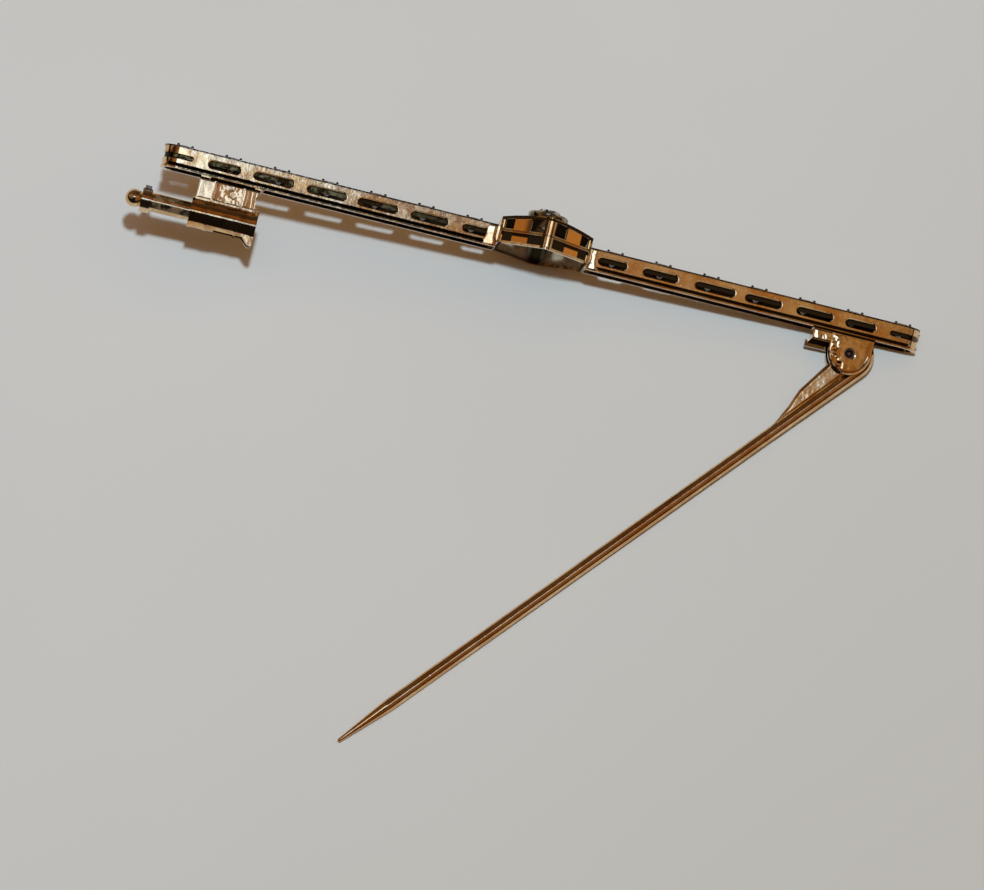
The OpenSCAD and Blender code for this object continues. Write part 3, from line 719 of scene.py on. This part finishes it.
def stopRelief(x, y):
    ridge, pit = stopShape["ridge"], stopShape["pit"]
    rough = 0.006 * wave(x, y, 1.7, 12.0) + 0.004 * wave(x, y, 5.5, 13.0)
    rough += ridge["rise"] * hump(x + ridge["slant"] * y, ridge["x"], ridge["width"])
    rough -= pit["deep"] * hump(math.hypot(x - pit["x"], y - pit["y"]), 0, pit["reach"])
    fade = stopShape["fade"]
    ends = fadeIn((y - stopShape["bottom"], fade), (stopShape["top"] - y, fade),
                  (x - stopShape["left"], fade))
    return stopShape["edge"] + ends * (stopShape["face"] + rough)


rows = [[(x, y, stopRelief(x, y))
         for x in spread(stopShape["left"], stopShape["right"], stopShape["columns"])]
        for y in spread(stopShape["bottom"], stopShape["top"], stopShape["rows"])]
gridPiece("stop_front", broochPoint, rows, stopShape["base"])

# The front of the near post is worn flatter, tilted a little to the left
postShape = {
    "left": -0.13, "right": 0.17, "bottom": 0.30, "top": 2.56, "columns": 15, "rows": 40, "fade": 0.05,
    "front": 5.575, "rise": 0.035, "radius": 1.3, "crest": 0.02, "lean": 0.06, "ragged": 0.15,
    "corner": {"from": 0.8, "drop": 0.03}, "base": 5.45}
rows = []
for y in spread(postShape["bottom"], postShape["top"], postShape["rows"]):
    ends = fadeIn((y - postShape["bottom"], postShape["fade"]), (postShape["top"] - y, postShape["fade"]))
    half = (postShape["right"] - postShape["left"]) / 2
    half *= 1 - postShape["ragged"] + postShape["ragged"] * wave(y, 0, 2.2, 6.0)
    row = []
    for across in spread(-1, 1, postShape["columns"]):
        x = (postShape["left"] + postShape["right"]) / 2 + across * half
        away = x - postShape["crest"]
        corner = max(0, abs(across) - postShape["corner"]["from"]) / (1 - postShape["corner"]["from"])
        bow = away ** 2 / (2 * postShape["radius"]) + postShape["corner"]["drop"] * corner
        row.append((x, y, postShape["front"] + postShape["rise"] * ends - bow + postShape["lean"] * away))
    rows.append(row)
gridPiece("box_post_front", broochPoint, rows, postShape["base"])
print("raised details made")

# Floor, light and camera
bpy.ops.mesh.primitive_plane_add(size=3, location=(0, 0, 0))
floor = bpy.context.object
floor.name = "table"
floor.data.materials.append(floorMaterial())

# The room is painted card by card. A round card has its direction, inner and outer reach in
# degrees, colour and strength; the windows overhead have their edges as directions along X and Y
studio = {
    "key": {"toward": (0.057, -0.077, 1.0), "distance": 0.7, "size": 0.028, "power": 2.86,
            "colour": (0.745, 0.925, 1.0)},
    "fill": {"toward": (0.2, 0.1, 1.0), "distance": 1.2, "size": 1.6, "power": 3.2,
             "colour": (1.0, 0.46, 0.08)},
    "room": (0.010, 0.009, 0.010),
    "cards": [
        ((-0.30, 0.92, 0.25), 35, 75, (1.0, 0.62, 0.34), 0.05),
        ((-0.45, 0.88, 0.12), 20, 45, (1.0, 0.70, 0.45), 0.12),
        ((0.85, 0.25, 0.40), 14, 30, (1.0, 0.68, 0.42), 0.24),
        ((-0.35, 0.45, 0.82), 12, 30, (1.0, 0.48, 0.20), 0.09),
        ((0.16, 0.32, 0.93), 6, 16, (1.0, 0.42, 0.12), 0.20),
        ((0.50, -0.02, 0.87), 11, 20, (1.0, 0.60, 0.28), 0.30),
        ((-0.60, -0.02, 0.80), 20, 34, (1.0, 0.60, 0.30), 0.26),
        ((0.58, -0.50, 0.64), 12, 22, (1.0, 0.46, 0.20), 0.22),
        ((-0.915, 0.088, 0.392), 7, 11, (1.0, 0.85, 0.7), 0.42),
        ((0.994, 0.111, 0.06), 6, 11, (1.0, 0.85, 0.70), 0.45),
    ],
    "windows": [
        {"x": ((0.186, 0.208), (0.232, 0.262)), "y": ((-0.12, -0.09), (0.05, 0.08)),
         "colour": (1.0, 0.63, 0.25), "strength": 0.40},
        {"x": ((0.168, 0.180), (0.190, 0.212)), "y": ((-0.12, -0.09), (0.05, 0.08)),
         "colour": (0.80, 0.68, 0.66), "strength": 0.36},
        {"x": ((-0.19, -0.16), (0.159, 0.189)), "y": ((-0.165, -0.145), (0.00, 0.04)),
         "colour": (0.84, 1.20, 1.85), "strength": 1.8},
    ],
}


def areaLight(name, toward, distance, size, power, colour, aim=(0, 0.01, 0.004)):
    data = bpy.data.lights.new(name, "AREA")
    data.shape, data.size = "DISK", size
    data.energy, data.color = power, colour
    lamp = bpy.data.objects.new(name, data)
    bpy.context.scene.collection.objects.link(lamp)
    direction = Vector(toward).normalized()
    lamp.location = Vector(aim) + direction * distance
    lamp.rotation_euler = direction.to_track_quat("Z", "Y").to_euler()
    lamp.visible_camera = False
    lamp.visible_glossy = False


def paintRoom():
    world = bpy.data.worlds.new("room")
    bpy.context.scene.world = world
    world.use_nodes = True
    tree = world.node_tree
    tree.nodes.clear()
    start = Socket(tree, None)
    view = start.make("ShaderNodeTexCoord", None, None, 0)
    colour = studio["room"]
    for toward, inner, outer, tint, power in studio["cards"]:
        reach = view.dot(tuple(Vector(toward).normalized()))
        mask = reach.step(math.cos(math.radians(outer)), math.cos(math.radians(inner)))
        colour = mask.mix(colour, tuple(c * power for c in tint))
    for window in studio["windows"]:
        mask = view.dot((0, 0, 1)).step(0.5, 0.6)
        for axis, edges in (((1, 0, 0), window["x"]), ((0, 1, 0), window["y"])):
            mask = mask * view.dot(axis).between(*edges)
        colour = mask.mix(colour, tuple(c * window["strength"] for c in window["colour"]))
    back = start.make("ShaderNodeBackground", None, {"Color": colour, "Strength": 1.0})
    output = tree.nodes.new("ShaderNodeOutputWorld")
    tree.links.new(back.out, output.inputs[0])


areaLight("key", **studio["key"])
areaLight("fill", **studio["fill"])
paintRoom()

# The photo's camera, fitted to points of the brooch: the columns give its right, its up, its back
# and its place
photoCamera = {
    "place": ((0.976141, -0.202130, 0.079318, 0.064000),
              (0.216037, 0.940783, -0.261257, -0.205926),
              (-0.021813, 0.272159, 0.962005, 0.772912),
              (0, 0, 0, 1)),
    "lens": 380.49, "sensor": 36, "near": 0.01, "far": 10}
camera = bpy.data.objects.new("camera", bpy.data.cameras.new("camera"))
bpy.context.scene.collection.objects.link(camera)
camera.matrix_world = Matrix(photoCamera["place"])
camera.data.lens, camera.data.sensor_width = photoCamera["lens"], photoCamera["sensor"]
camera.data.sensor_fit = "HORIZONTAL"
camera.data.clip_start, camera.data.clip_end = photoCamera["near"], photoCamera["far"]
bpy.context.scene.camera = camera
bpy.context.scene.view_settings.view_transform = "Standard"

print("scene ready")
